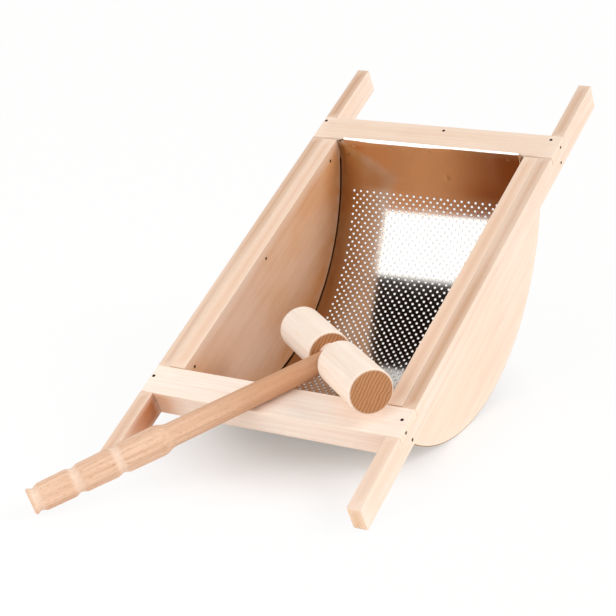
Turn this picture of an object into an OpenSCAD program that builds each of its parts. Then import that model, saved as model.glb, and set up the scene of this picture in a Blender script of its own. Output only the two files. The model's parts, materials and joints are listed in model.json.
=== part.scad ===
// Trough strainer for tomatoes with its hand pestle.
// The frame is drawn on a bench: X across, Y along, Z up, the rails' top at Z = 0.
// It is then tipped forward onto its round belly and the front ends of its arms.
// The floor is Z = 0 and the origin lies where the belly touches it.

/* [Frame] */
// Width over the two arms
frame_w = 260; // [220:1:320]
// Length of an arm
arm_len = 552; // [500:1:640]
// Thickness of an arm
arm_t = 13; // [10:0.5:18]
// Depth of an arm and of a crossbar
arm_h = 26; // [22:0.5:34]
// Bevel on the lower corner of each arm end
arm_bevel = 1.5; // [0.5:0.5:4]
// Thickness of a cheek board
cheek_t = 15; // [10:0.5:20]
// Width of a crossbar along the frame
bar_w = 33; // [26:0.5:44]
// Thickness of the crossbar's tongue that lies in the arm's notch
lap_t = 9; // [6:0.5:12]

/* [Belly] */
// Length of the trough between the crossbars
trough_len = 328; // [300:1:360]
// Radius of the cheeks' round edge
belly_r = 186; // [180:1:210]
// Depth of the belly below the rails' top
belly_depth = 130; // [110:1:145]
// How far the belly's middle lies behind the trough's middle
belly_shift = -9; // [-12:0.5:12]

/* [Strainer sheet] */
// Thickness of the sheet
sheet_t = 0.6; // [0.4:0.1:1.2]
// Depth of the sheet's end edges below the rails' top
sheet_lip = 1.5; // [0.5:0.5:4]
// Clear side play between the sheet and the arms
sheet_play = 0.5; // [0.2:0.1:1.5]
// Diameter of a straining hole
hole_d = 4.2; // [2.5:0.1:5]
// Spacing of the holes in a row, the rows are half of it apart
hole_pitch = 12.5; // [11:0.1:18]
// Plain margin beside each cheek
side_margin = 14; // [8:1:40]
// Plain length at each end of the curve
end_margin = 36; // [20:1:70]

/* [Nails and tacks] */
// Diameter of a nail's shank
nail_d = 1.8; // [1.2:0.1:2.6]
// Diameter of a nail's head
nail_head_d = 3.6; // [3:0.1:5]
// Thickness of a nail's head
nail_head_t = 1; // [0.6:0.1:1.6]
// Height of a nail's head above the wood
nail_proud = 0.3; // [0.1:0.1:0.5]
// Bite of a nail in the second piece it holds
nail_bite = 9; // [5:0.5:11]
// Depth of the cheek nails below the rails' top
cheek_nail_z = 11; // [8:0.5:16]
// Spacing of the cheek nails along the trough
cheek_nail_step = 146; // [110:1:148]
// Shift of the middle cheek nail from the trough's middle
cheek_nail_mid = -4; // [-8:0.5:8]
// Distance of the upper arm end nail outward of the crossbar's middle line
end_nail_off = 6; // [4.5:0.5:6.5]
// Distance of the lower arm end nail outward of that line
low_nail_off = 0.5; // [0:0.5:2]
// Distance of the back crossbar's top nails outward of that line
back_nail_off = 10; // [9.5:0.5:12]
// Distance of the front crossbar's top nails outward of that line
front_nail_off = -3; // [-8:0.5:-3]
// Distance of the left arm's top nails outward of the arm's middle line
left_nail_out = 3.5; // [0:0.5:4]
// Distance of the right arm's back top nail inward of that line
right_nail_in = 4; // [0:0.5:4.5]
// Place of the back crossbar's middle nail across the frame
middle_nail_x = 6; // [-20:1:20]
// Depth of the upper arm end nail
end_nail_z = 5; // [4:0.5:6]
// Drop from the upper to the lower arm end nail
end_nail_drop = 14.5; // [9:0.5:15]
// Diameter of a tack's shank
tack_d = 1.4; // [1:0.1:2]
// Diameter of a tack's head
tack_head_d = 4; // [3:0.1:5]
// Thickness of a tack's head
tack_head_t = 0.4; // [0.3:0.1:0.6]
// Bite of a tack in the wood
tack_bite = 9; // [6:0.5:12]
// Angle between the tacks on a cheek's round edge
tack_step = 12; // [10:1:14]
// Spacing of the tacks on a crossbar
end_tack_step = 42; // [30:1:46]
// Depth of the crossbar tacks below the rails' top
end_tack_z = 7; // [5:0.5:9]

/* [Pestle] */
// Diameter of the pestle's head
head_d = 40.5; // [38:0.5:50]
// Length of the pestle's head
head_len = 171; // [140:1:190]
// Rounding of the head's edges
head_round = 2; // [1:0.5:4]
// Depth of the groove round the head's middle
groove_depth = 10; // [4:0.5:11]
// Side play between the groove's walls and the handle
groove_play = 1.6; // [0.5:0.1:2.5]
// Diameter of the handle where it meets the head
handle_d = 18.4; // [17:0.2:21]
// Diameter of the handle where its grip starts
shaft_d = 21.4; // [19:0.2:24]
// Diameter of the grip's thick end
grip_top_d = 28; // [25:0.2:31]
// Diameter of the grip at the end of the handle
grip_d = 24.4; // [22:0.2:28]
// Length of the grip's round shoulder
grip_ease = 12; // [8:0.5:16]
// Height of the handle's middle line above the head's
handle_up = 1.5; // [0:0.1:1.5]
// Length from the head's middle to the end of the handle
handle_reach = 287; // [260:1:330]
// Length of the grip
grip_len = 130; // [110:1:170]
// Depth of the turned grooves in the grip
ring_depth = 2.2; // [1:0.1:3]
// Width of a turned groove
ring_w = 12; // [6:0.5:14]
// Distance of the second groove from the end of the handle
near_ring = 42; // [30:1:55]
// Distance of the third groove from the end of the handle
far_ring = 81; // [70:1:90]
// Bevel on the end of the handle
end_bevel = 1.5; // [0.5:0.5:3]
// Diameter of the handle's tenon
tenon_d = 14; // [10:0.5:16]
// Depth of the tenon past the head's middle
tenon_past = 8; // [4:0.5:9]
// Turn of the lying pestle, seen from above
pestle_turn = 40; // [30:0.5:50]
// Place of the head's middle across the frame
head_x = 37; // [20:1:45]

/* [Fits] */
// Diametral clearance of nails, tacks and the tenon in their holes
bore_fit = 0.06; // [0.02:0.02:0.2]
// Clearance of the sheet against the cheeks and the crossbars
sheet_fit = 0.06; // [0.02:0.02:0.2]
// Gap under the pestle where it lies on the frame
rest_gap = 0.3; // [0.2:0.1:1]

/* [Hidden] */
$fn = 48;

wood = "#ecd3b4";
wood_dark = "#d9b48a";
bright_metal = "#cfd2d4";
nail_metal = "#2b2522";

// Frame places on the bench
arm_x = frame_w / 2 - arm_t;
cheek_x = arm_x - cheek_t;
trough_half = trough_len / 2;
bar_y = trough_half + bar_w / 2;
cheek_half = trough_half - sheet_t - 2 * sheet_fit;
belly_z = belly_r - belly_depth;
sheet_r = belly_r + sheet_fit;
belly_out = sheet_r + sheet_t;

// The tip that sets the belly and the arms' bevelled front corners on the floor
foot_y = arm_len / 2 - arm_bevel + belly_shift;
foot_z = belly_z + arm_h;
tip = asin(belly_out / norm([foot_y, foot_z])) - atan2(foot_z, foot_y);
belly_mid = turned(belly_shift, belly_z);
function turned(y, z) = [y * cos(tip) - z * sin(tip), y * sin(tip) + z * cos(tip)];
function on_floor(y, z) = turned(y, z) - belly_mid + [0, belly_out];

// Rows of straining holes, one flat strip of the bent sheet for each
row_angle = hole_pitch / 2 / sheet_r * 180 / PI;
strip_r = sheet_r / cos(row_angle / 2);
margin_angle = end_margin / sheet_r * 180 / PI;
front_angle = asin((-cheek_half - belly_shift) / sheet_r);
back_angle = asin((cheek_half - belly_shift) / sheet_r);
first_row = ceil((front_angle + margin_angle) / row_angle);
last_row = floor((back_angle - margin_angle) / row_angle);
hole_cols = floor((cheek_x - side_margin) / hole_pitch);

// Tacks sit at odd half steps, clear of the line that touches the floor
edge_tack_x = cheek_x + cheek_t / 2;
edge_tacks = [for (a = [-89.5 * tack_step : tack_step : 89.5 * tack_step])
  if (a > front_angle + tack_step / 2 && a < back_angle - tack_step / 2) a];
end_tack_n = floor(cheek_x / end_tack_step);
end_tacks = [for (i = [-end_tack_n : end_tack_n]) i * end_tack_step];

// The pestle lies with its head and handle on the front crossbar's edge and its end on the floor
head_r = head_d / 2;
neck_r = head_r - groove_depth;
groove_w = handle_d + 2 * groove_play;
grip_from = handle_reach - grip_len;
edge_at = on_floor(-trough_half, 0);
pestle_tip = asin((edge_at[1] + head_r + handle_up - grip_d / 2) / handle_reach);
slope_y = cos(pestle_turn) * cos(pestle_tip);
slope = norm([sin(pestle_tip), slope_y]);
// Length along the handle to the edge, and the handle's radius there
edge_lift = (head_r + rest_gap) * slope_y + handle_up * cos(pestle_turn);
edge_y = (edge_lift - (handle_d / 2 + rest_gap) * slope) / sin(pestle_tip);
cross_r = handle_r((edge_y * slope_y + (head_r + rest_gap) * sin(pestle_tip)) / pow(slope, 2));
head_y = edge_at[0] + edge_y - (cross_r - handle_d / 2) * slope / sin(pestle_tip);
head_z = edge_at[1] + head_r + rest_gap;

module on_bench() {
  translate([0, -belly_mid[0], belly_out - belly_mid[1]]) rotate([tip, 0, 0]) children();
}

module lying() {
  translate([head_x, head_y, head_z]) rotate([pestle_tip, 0, -pestle_turn]) children();
}

module both_ends() {
  children();
  mirror([0, 1, 0]) children();
}

// A nail along -Z with its head's top just above Z = 0, or its hole
module nail(len, grow = 0) {
  translate([0, 0, nail_proud - nail_head_t]) cylinder(d = nail_head_d + grow, h = nail_head_t);
  translate([0, 0, -len - grow]) cylinder(d = nail_d + grow, h = len - nail_head_t / 2);
}

// A tack along -Z with its head resting on Z = 0, or its hole
module tack(grow = 0) {
  cylinder(d = tack_head_d, h = tack_head_t);
  translate([0, 0, -tack_bite - sheet_t - grow])
    cylinder(d = tack_d + grow, h = tack_bite + sheet_t + grow + tack_head_t / 2);
}

// Nails through the right cheek into the right arm
module cheek_nails(grow = 0) {
  for (i = [-1:1]) translate([cheek_x, cheek_nail_mid + i * cheek_nail_step, -cheek_nail_z])
    rotate([0, -90, 0]) nail(cheek_t + nail_bite, grow);
}

// Nail down through the crossbar's tongue into the right arm
module top_nail(off, out, grow = 0) {
  translate([arm_x + arm_t / 2 + out, bar_y + off, 0]) nail(lap_t + nail_bite, grow);
}

// Nails through the right arm's back end into the crossbar
module end_nails(grow = 0) {
  for (at = [[end_nail_off, -end_nail_z], [low_nail_off, -end_nail_z - end_nail_drop]])
    translate([arm_x + arm_t, bar_y + at[0], at[1]]) rotate([0, 90, 0]) nail(arm_t + nail_bite, grow);
}

// Nail in the middle of the back crossbar
module middle_nail(grow = 0) {
  translate([middle_nail_x, bar_y + back_nail_off, 0]) nail(lap_t + nail_bite, grow);
}

// Tacks from below through the sheet into the right cheek's round edge
module edge_tack_row(grow = 0) {
  for (a = edge_tacks) translate([edge_tack_x, belly_shift, belly_z]) rotate([a, 0, 0])
    translate([0, 0, -strip_r - sheet_t]) rotate([180, 0, 0]) tack(grow);
}

// Tacks through the sheet's flat end into the back crossbar
module end_tack_row(grow = 0) {
  for (x = end_tacks) translate([x, trough_half - sheet_t - sheet_fit, -end_tack_z]) rotate([90, 0, 0])
    tack(grow);
}

module tongue(grow = 0) {
  translate([arm_x - grow, bar_y - bar_w / 2, -lap_t])
    cube([arm_t + 2 * grow, bar_w, lap_t + grow]);
}

// The right arm, or the left one before it is mirrored
module arm_bench(back_out, front_out) {
  color(wood) difference() {
    translate([arm_x, 0, 0]) rotate([90, 0, 90]) linear_extrude(arm_t) polygon([
      [-arm_len / 2, 0], [-arm_len / 2, arm_bevel - arm_h], [arm_bevel - arm_len / 2, -arm_h],
      [arm_len / 2 - arm_bevel, -arm_h], [arm_len / 2, arm_bevel - arm_h], [arm_len / 2, 0]]);
    both_ends() {
      tongue(1);
      end_nails(bore_fit);
    }
    top_nail(back_nail_off, back_out, bore_fit);
    mirror([0, 1, 0]) top_nail(front_nail_off, front_out, bore_fit);
    cheek_nails(bore_fit);
  }
}

module crossbar_bench(nail_off, right_out) {
  color(wood) difference() {
    union() {
      translate([-arm_x, bar_y - bar_w / 2, -arm_h]) cube([2 * arm_x, bar_w, arm_h]);
      tongue();
      mirror([1, 0, 0]) tongue();
    }
    for (side = [0, 1]) mirror([side, 0, 0]) {
      top_nail(nail_off, side ? left_nail_out : right_out, bore_fit);
      end_nails(bore_fit);
    }
    end_tack_row(bore_fit);
  }
}

// Outline of the belly, cut off at the crossbars and at a level below the rails' top
module belly_2d(half, level) {
  intersection() {
    translate([belly_shift, belly_z]) children();
    translate([-half, -belly_r]) square([2 * half, belly_r - level]);
  }
}

module strips(r) {
  n = floor(100 / row_angle);
  polygon([for (i = [-n : n + 1]) r * [sin((i - 0.5) * row_angle), -cos((i - 0.5) * row_angle)]]);
}

module right_cheek_bench() {
  color(wood) difference() {
    translate([cheek_x, 0, 0]) rotate([90, 0, 90]) linear_extrude(cheek_t)
      belly_2d(cheek_half, 0) circle(r = belly_r, $fn = 180);
    cheek_nails(bore_fit);
    edge_tack_row(bore_fit);
  }
}

module strainer_sheet() {
  half_w = arm_x - sheet_play;
  color(bright_metal) on_bench() difference() {
    rotate([90, 0, 90]) linear_extrude(2 * half_w, center = true) difference() {
      belly_2d(trough_half - sheet_fit, sheet_lip) strips(strip_r + sheet_t);
      belly_2d(trough_half - sheet_fit - sheet_t, 0) strips(strip_r);
    }
    translate([0, belly_shift, belly_z]) for (row = [first_row : last_row])
      rotate([row * row_angle, 0, 0]) hole_row(abs(row) % 2 == 1);
    for (side = [0, 1]) mirror([side, 0, 0]) edge_tack_row(bore_fit);
    both_ends() end_tack_row(bore_fit);
  }
}

// One row of straining holes at the bottom of the belly's circle
module hole_row(shifted) {
  shift = shifted ? hole_pitch / 2 : 0;
  for (i = [-hole_cols : hole_cols - (shifted ? 1 : 0)])
    translate([i * hole_pitch + shift, 0, -strip_r - 2 * sheet_t])
      cylinder(d = hole_d, h = 4 * sheet_t, $fn = 16);
}

module left_arm() { on_bench() mirror([1, 0, 0]) arm_bench(left_nail_out, left_nail_out); }
module right_arm() { on_bench() arm_bench(-right_nail_in, 0); }
module left_cheek() { on_bench() mirror([1, 0, 0]) right_cheek_bench(); }
module right_cheek() { on_bench() right_cheek_bench(); }

module back_crossbar() {
  color(wood) on_bench() difference() {
    crossbar_bench(back_nail_off, -right_nail_in);
    middle_nail(bore_fit);
  }
}

module front_crossbar() { on_bench() mirror([0, 1, 0]) crossbar_bench(front_nail_off, 0); }

module left_cheek_nails() { color(nail_metal) on_bench() mirror([1, 0, 0]) cheek_nails(); }
module right_cheek_nails() { color(nail_metal) on_bench() cheek_nails(); }

module back_top_nails() {
  color(nail_metal) on_bench() {
    top_nail(back_nail_off, -right_nail_in);
    mirror([1, 0, 0]) top_nail(back_nail_off, left_nail_out);
    middle_nail();
  }
}

module front_top_nails() {
  color(nail_metal) on_bench() mirror([0, 1, 0]) {
    top_nail(front_nail_off, 0);
    mirror([1, 0, 0]) top_nail(front_nail_off, left_nail_out);
  }
}

module corner_nails(left, front) {
  color(nail_metal) on_bench() mirror([left, 0, 0]) mirror([0, front, 0]) end_nails();
}

module left_front_end_nails() { corner_nails(1, 1); }
module right_front_end_nails() { corner_nails(0, 1); }
module left_back_end_nails() { corner_nails(1, 0); }
module right_back_end_nails() { corner_nails(0, 0); }

module left_edge_tacks() { color(nail_metal) on_bench() mirror([1, 0, 0]) edge_tack_row(); }
module right_edge_tacks() { color(nail_metal) on_bench() edge_tack_row(); }
module front_end_tacks() { color(nail_metal) on_bench() mirror([0, 1, 0]) end_tack_row(); }
module back_end_tacks() { color(nail_metal) on_bench() end_tack_row(); }

// Quarter round from one edge of the head's outline to the next
function quarter(y, r, from) = [for (a = [0:15:90])
  [r - head_round + head_round * cos(from + a), y + head_round * sin(from + a)]];

// Half outline of the head, from the groove to the end, turned about its axis
function head_outline() = concat([[0, 0], [neck_r, 0], [neck_r, groove_w / 2]],
  quarter(groove_w / 2 + head_round, head_r, -90), quarter(head_len / 2 - head_round, head_r, 0),
  [[0, head_len / 2]]);

module pestle_head() {
  color(wood) lying() difference() {
    rotate([0, 90, 0]) for (side = [0, 1]) mirror([0, 0, side]) rotate_extrude() polygon(head_outline());
    translate([0, 0, handle_up]) rotate([90, 0, 0]) tenon(bore_fit);
  }
}

// The handle's tenon along +Z, from past the head's middle into the handle
module tenon(grow = 0) {
  translate([0, 0, -tenon_past - grow]) cylinder(d = tenon_d + grow, h = tenon_past + head_r + grow);
}

// Radius of the handle at a length from the head's middle
function ring_at(s, at) = abs(s - at) < ring_w / 2 ? ring_depth * (1 + cos(360 * (s - at) / ring_w)) / 2 : 0;
function eased(t) = (1 - cos(180 * min(1, max(0, t)))) / 2;
function shaft_r(s) = handle_d / 2 + (shaft_d - handle_d) / 2 * min(1, s / grip_from);
function grip_r(s) = grip_top_d / 2 + (grip_d - grip_top_d) / 2 * max(0, s - grip_from) / grip_len;
function handle_r(s) = shaft_r(s) + (grip_r(s) - shaft_r(s)) * eased((s - grip_from) / grip_ease)
  - ring_at(s, handle_reach - ring_w / 2) - ring_at(s, handle_reach - near_ring)
  - ring_at(s, handle_reach - far_ring);

// The handle's flat shoulder meets the head's neck
module pestle_handle() {
  shoulder = neck_r + bore_fit;
  end_from = handle_reach - end_bevel;
  step = ring_w / 8;
  grip_places = [for (s = [grip_from : step : end_from - step / 2]) s];
  places = concat([shoulder], grip_places, [end_from]);
  color(wood_dark) lying() translate([0, 0, handle_up]) rotate([90, 0, 0]) {
    rotate_extrude() polygon(concat([[0, shoulder]], [for (s = places) [handle_r(s), s]],
      [[handle_r(handle_reach) - end_bevel, handle_reach], [0, handle_reach]]));
    tenon();
  }
}

left_arm();
right_arm();
left_cheek();
right_cheek();
front_crossbar();
back_crossbar();
strainer_sheet();
left_cheek_nails();
right_cheek_nails();
front_top_nails();
back_top_nails();
left_front_end_nails();
right_front_end_nails();
left_back_end_nails();
right_back_end_nails();
left_edge_tacks();
right_edge_tacks();
front_end_tacks();
back_end_tacks();
pestle_head();
pestle_handle();
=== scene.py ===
import json
from bisect import bisect_right
from math import asin, atan2, cos, degrees, exp, hypot, pi, radians, sin

import bmesh
import bpy
from mathutils import Matrix, Vector, noise


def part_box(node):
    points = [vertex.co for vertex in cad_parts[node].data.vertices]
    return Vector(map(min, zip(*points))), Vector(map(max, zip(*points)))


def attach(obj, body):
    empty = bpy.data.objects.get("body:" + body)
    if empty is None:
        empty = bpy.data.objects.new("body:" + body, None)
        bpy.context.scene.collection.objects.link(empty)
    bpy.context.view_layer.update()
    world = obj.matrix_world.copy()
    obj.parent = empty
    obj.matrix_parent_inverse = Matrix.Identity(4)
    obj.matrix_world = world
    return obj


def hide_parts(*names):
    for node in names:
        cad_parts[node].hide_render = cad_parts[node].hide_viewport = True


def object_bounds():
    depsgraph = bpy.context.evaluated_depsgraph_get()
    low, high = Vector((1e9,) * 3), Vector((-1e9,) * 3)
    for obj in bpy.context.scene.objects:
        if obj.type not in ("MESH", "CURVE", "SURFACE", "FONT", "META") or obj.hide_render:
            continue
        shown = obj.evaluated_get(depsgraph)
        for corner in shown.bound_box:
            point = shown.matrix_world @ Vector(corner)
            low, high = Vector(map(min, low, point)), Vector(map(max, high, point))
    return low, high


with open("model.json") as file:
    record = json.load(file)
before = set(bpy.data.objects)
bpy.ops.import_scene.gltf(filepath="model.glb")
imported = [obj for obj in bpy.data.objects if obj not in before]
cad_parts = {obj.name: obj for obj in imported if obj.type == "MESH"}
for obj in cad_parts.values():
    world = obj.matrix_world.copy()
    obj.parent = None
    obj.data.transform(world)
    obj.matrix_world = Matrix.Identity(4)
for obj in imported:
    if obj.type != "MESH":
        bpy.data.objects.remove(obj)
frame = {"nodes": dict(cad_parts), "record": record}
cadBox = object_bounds()
nodes = frame["nodes"]
scene = bpy.context.scene
scene.view_settings.view_transform = "Standard"

mm = 0.001
hair = 0.01 * mm   # places this close count as one


def nodePoints(name):
    return [v.co.copy() for v in nodes[name].data.vertices]


# the bench: the frame before it is tipped, rails' top at Z = 0 and the trough's middle at Y = 0
armRest = next(m for m in frame["record"]["mounts"] if m["name"] == "right_arm_rest")
tip = atan2(armRest["axis"][1], -armRest["axis"][2])
tilt = Matrix.Rotation(tip, 3, "X")
untilt = tilt.transposed()
armPoints = [untilt @ p for p in nodePoints("right_arm")]
armY = [p.y for p in armPoints]
benchZero = Vector((0, (min(armY) + max(armY)) / 2, max(p.z for p in armPoints)))


def toBench(point):
    return untilt @ Vector(point) - benchZero


def fromBench(point):
    return tilt @ (Vector(point) + benchZero)


def benchWay(x, y, z):
    return tilt @ Vector((x, y, z))


def benchPoints(name):
    return [toBench(p) for p in nodePoints(name)]


def boxOf(points):
    return (Vector([min(p[i] for p in points) for i in range(3)]),
            Vector([max(p[i] for p in points) for i in range(3)]))


def benchBox(name):
    return boxOf(benchPoints(name))


def circleThrough(a, b, c):
    d = 2 * (a[0] * (b[1] - c[1]) + b[0] * (c[1] - a[1]) + c[0] * (a[1] - b[1]))
    sq = [p[0] ** 2 + p[1] ** 2 for p in (a, b, c)]
    y = (sq[0] * (b[1] - c[1]) + sq[1] * (c[1] - a[1]) + sq[2] * (a[1] - b[1])) / d
    z = (sq[0] * (c[0] - b[0]) + sq[1] * (a[0] - c[0]) + sq[2] * (b[0] - a[0])) / d
    return (y, z), hypot(a[0] - y, a[1] - z)


armLo, armHi = benchBox("right_arm")
cheekLo, cheekHi = benchBox("right_cheek")
barLo, barHi = benchBox("back_crossbar")
sheetLo, sheetHi = benchBox("strainer_sheet")
lapDepth = -min(p.z for p in benchPoints("back_crossbar") if p.x > armLo.x + mm)
cheekPoints = benchPoints("right_cheek")
cheekFoot = min(cheekPoints, key=lambda p: p.z)
cheekFront = min((p for p in cheekPoints if p.y < cheekLo.y + hair), key=lambda p: p.z)
cheekBack = min((p for p in cheekPoints if p.y > cheekHi.y - hair), key=lambda p: p.z)
bellyMid, bellyRadius = circleThrough(*[(p.y, p.z) for p in (cheekFront, cheekFoot, cheekBack)])
print("bench: tipped", round(degrees(tip), 2), "belly radius", round(bellyRadius, 4))


# colours are written as seen on screen, 0 to 255
def paint(r, g, b):
    def lin(c):
        c /= 255
        return c / 12.92 if c <= 0.04045 else ((c + 0.055) / 1.055) ** 2.4
    return (lin(r), lin(g), lin(b), 1.0)


# the nodes of a material or of the world
class Shader:
    def __init__(self, owner):
        owner.use_nodes = True
        self.owner, self.tree = owner, owner.node_tree
        self.body = self.tree.nodes.get("Principled BSDF")

    def add(self, kind, settings=None, **inputs):
        made = self.tree.nodes.new(kind)
        for key, value in (settings or {}).items():
            setattr(made, key, value)
        for key, value in inputs.items():
            numbered = key[0] == "i" and key[1:].isdigit()   # i0 is the first input
            self.feed(made.inputs[int(key[1:]) if numbered else key], value)
        return made.outputs

    def feed(self, socket, value):
        if isinstance(value, bpy.types.NodeSocket):
            self.tree.links.new(value, socket)
        else:
            socket.default_value = value

    def coat(self, **inputs):
        for key, value in inputs.items():
            self.feed(self.body.inputs[key.replace("_", " ")], value)

    def surface(self, output):
        self.feed(self.tree.nodes["Material Output"].inputs["Surface"], output)

    def math(self, how, a, b=0.0, clamp=False):
        return self.add("ShaderNodeMath", {"operation": how, "use_clamp": clamp}, i0=a, i1=b)[0]

    def times(self, a, b):
        return self.math("MULTIPLY", a, b)

    def vector(self, how, a, b=(0, 0, 0)):
        out = self.add("ShaderNodeVectorMath", {"operation": how}, i0=a, i1=b)
        return out["Value"] if how in ("LENGTH", "DOT_PRODUCT") else out["Vector"]

    def stretched(self, at, along):
        return self.vector("MULTIPLY", at, (1, along, 1))

    def noise(self, at, scale, detail=3.0, rough=0.55):
        return self.add("ShaderNodeTexNoise", None, Vector=at, Scale=scale, Detail=detail, Roughness=rough)["Fac"]

    def grain(self, at, along, *noise):
        return self.noise(self.stretched(at, along), *noise)

    def span(self, value, low, high, to0=0.0, to1=1.0):
        return self.add("ShaderNodeMapRange", {"interpolation_type": "SMOOTHSTEP"},
                        i0=value, i1=low, i2=high, i3=to0, i4=to1)[0]

    def mix(self, factor, a, b, how="MIX"):
        return self.add("ShaderNodeMix", {"data_type": "RGBA", "blend_type": how}, i0=factor, i6=a, i7=b)[2]

    def tint(self, colour, mask, share, to):
        return self.mix(self.times(mask, share), colour, to)

    def attribute(self, name, kind="Fac"):
        return self.add("ShaderNodeAttribute", {"attribute_name": name})[kind]

    def axes(self, at):
        return self.add("ShaderNodeSeparateXYZ", None, Vector=at)

    def bump(self, height, strength, deep):
        made = self.add("ShaderNodeBump", None, Strength=strength, Distance=deep, Height=height)
        self.coat(Normal=made[0])

    def seenDirectly(self):
        # 1 for the camera and for what metal mirrors
        rays = self.add("ShaderNodeLightPath")
        mirrored = self.math("MAXIMUM", rays["Is Glossy Ray"], rays["Is Transmission Ray"])
        return self.math("MAXIMUM", rays["Is Camera Ray"], mirrored)


def newShader(name):
    return Shader(bpy.data.materials.new(name))


# solid wood: rings about an off-centre pith, fibres along the board, flecks, end grain, rubbed edges,
# painted shade on the tops, painted orange-brown shade in the trough and the legs' corners, painted shade
# in the cheeks' gap and a colour shift along the board. A noise has its stretch along the board, scale,
# detail and roughness: sway and fleck take the scale from the look, fleck its stretch too, and pores have no
# stretch
woodNoise = {
    "sway": (0.16, 2.0), "ragged": (0.05, 160.0, 2.0), "fibre": (0.022, 1500.0, 4.0, 0.6),
    "streak": (0.018, 260.0, 3.0, 0.6), "mottle": (0.35, 22.0), "blotch": (0.4, 19.0),
    "fleck": (1.0, 0.4), "pores": (1900.0, 2.0, 0.6),
}
woodBand = {"fibre": (0.45, 0.75), "streak": (0.38, 0.72), "mottle": (0.3, 0.72), "blotch": (0.34, 0.68),
            "pores": (0.5, 0.7), "rough": (0.2, 0.8)}
woodShare = {"ragged": 0.7, "lateWood": 2.2, "endRings": 0.85, "endPores": 0.4, "toneShiftWander": 0.03, "toneShift": 0.75}
woodRelief = {"fibre": 0.7, "fleck": 0.5, "late": 0.25, "deep": 0.25 * mm}


def woodShader(name, look):
    s = newShader(name)
    at = s.attribute("grainPlace", "Vector")
    scale, reach = look["sway"]
    along, detail = woodNoise["sway"]
    slow = s.add("ShaderNodeTexNoise", None, Vector=s.stretched(at, along), Scale=scale, Detail=detail)["Color"]
    shift = s.vector("MULTIPLY", s.vector("SUBTRACT", slow, (0.5, 0.5, 0.5)), (reach, 0, reach))
    fromPith = s.stretched(s.vector("SUBTRACT", s.vector("ADD", at, shift), look["pith"]), 0)
    count = s.times(s.vector("LENGTH", fromPith), look["ringsPerMetre"])
    ragged = s.times(s.grain(at, *woodNoise["ragged"]), woodShare["ragged"])
    late = s.math("POWER", s.math("FRACT", s.math("ADD", count, ragged)), woodShare["lateWood"])
    fibre = s.grain(at, *woodNoise["fibre"])
    streak = s.span(s.grain(at, *woodNoise["streak"]), *woodBand["streak"])
    mottle = s.span(s.grain(at, *woodNoise["mottle"]), *woodBand["mottle"])
    size, along, low, high = look["fleckGrain"]
    fleck = s.span(s.grain(at, along, size, *woodNoise["fleck"]), low, high)
    colour = s.tint(look["light"], mottle, look["mottle"], look["mid"])
    colour = s.tint(colour, late, look["ringDepth"], look["mid"])
    colour = s.tint(colour, streak, look["streak"], look["dark"])
    colour = s.tint(colour, s.span(fibre, *woodBand["fibre"]), look["fibre"], look["dark"])
    colour = s.tint(colour, fleck, look["fleck"], look["dark"])
    pores = s.span(s.noise(at, *woodNoise["pores"]), *woodBand["pores"])
    endColour = s.tint(look["endLight"], late, woodShare["endRings"], look["endDark"])
    endColour = s.tint(endColour, pores, woodShare["endPores"], look["endDark"])
    # a colour shift along the board: the handle darker and browner towards the head
    if look["toneShift"]:
        wander = s.times(s.math("SUBTRACT", mottle, 0.5), woodShare["toneShiftWander"])
        *ends, shiftColour = look["toneShift"]
        toneShift = s.span(s.math("ADD", s.axes(at)["Y"], wander), *ends)
        colour = s.mix(toneShift, colour, s.mix(woodShare["toneShift"], colour, shiftColour))
    # painted shade: the top faces darker than the sides, as the light falls
    if look["topShade"]:
        colour = s.mix(s.attribute("shadedTop"), colour, look["topShade"], "MULTIPLY")
    # painted shade: faces in the trough and in the corners by the front crossbar darker and orange-brown, in
    # blotches, by the shade share each board gives
    if look["shadeColour"]:
        blotch = s.span(s.grain(at, *woodNoise["blotch"]), *woodBand["blotch"], *look["blotch"])
        shadeMask = s.times(s.attribute("shadeShare"), blotch)
        shadeMask = s.math("MULTIPLY", s.attribute("insideFace"), shadeMask, True)
        colour = s.mix(shadeMask, colour, look["shadeColour"], "MULTIPLY")
    colour = s.mix(s.attribute("endGrain"), colour, endColour)
    # painted shade: the cheeks' undercut faces near black, for the gap above the sheet
    if look["gapShadeColour"]:
        colour = s.mix(s.attribute("gapShadeFace"), colour, look["gapShadeColour"])
    colour = s.tint(colour, s.attribute("rubbedEdge"), look["paler"], look["edge"])
    s.coat(Base_Color=colour, Roughness=s.span(fibre, *woodBand["rough"], *look["rough"]),
           Specular_IOR_Level=look["gloss"])
    hollow = s.math("ADD", s.times(fleck, woodRelief["fleck"]), s.times(late, woodRelief["late"]))
    height = s.math("SUBTRACT", s.times(fibre, woodRelief["fibre"]), hollow)
    s.bump(height, look["bump"], woodRelief["deep"])
    return s.owner


armLook = {
    "light": paint(250, 230, 214), "mid": paint(238, 206, 181), "dark": paint(212, 170, 138),
    "endLight": paint(240, 206, 174), "endDark": paint(206, 160, 120), "edge": paint(252, 234, 217),
    "pith": (0.03, 0, -0.09), "ringsPerMetre": 330.0, "ringDepth": 0.4, "sway": (11.0, 0.012),
    "mottle": 0.45, "streak": 0.22, "fibre": 0.2, "fleck": 0.16, "paler": 0.5,
    "rough": (0.52, 0.68), "gloss": 0.28, "bump": 0.3, "toneShift": None,
    # painted shade on the top faces
    "fleckGrain": (820.0, 0.13, 0.66, 0.76), "topShade": paint(214, 188, 164),
    # painted shade in the legs' corners by the front crossbar
    "shadeColour": paint(194, 130, 78), "blotch": (0.8, 1.0), "gapShadeColour": None,
}
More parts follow.
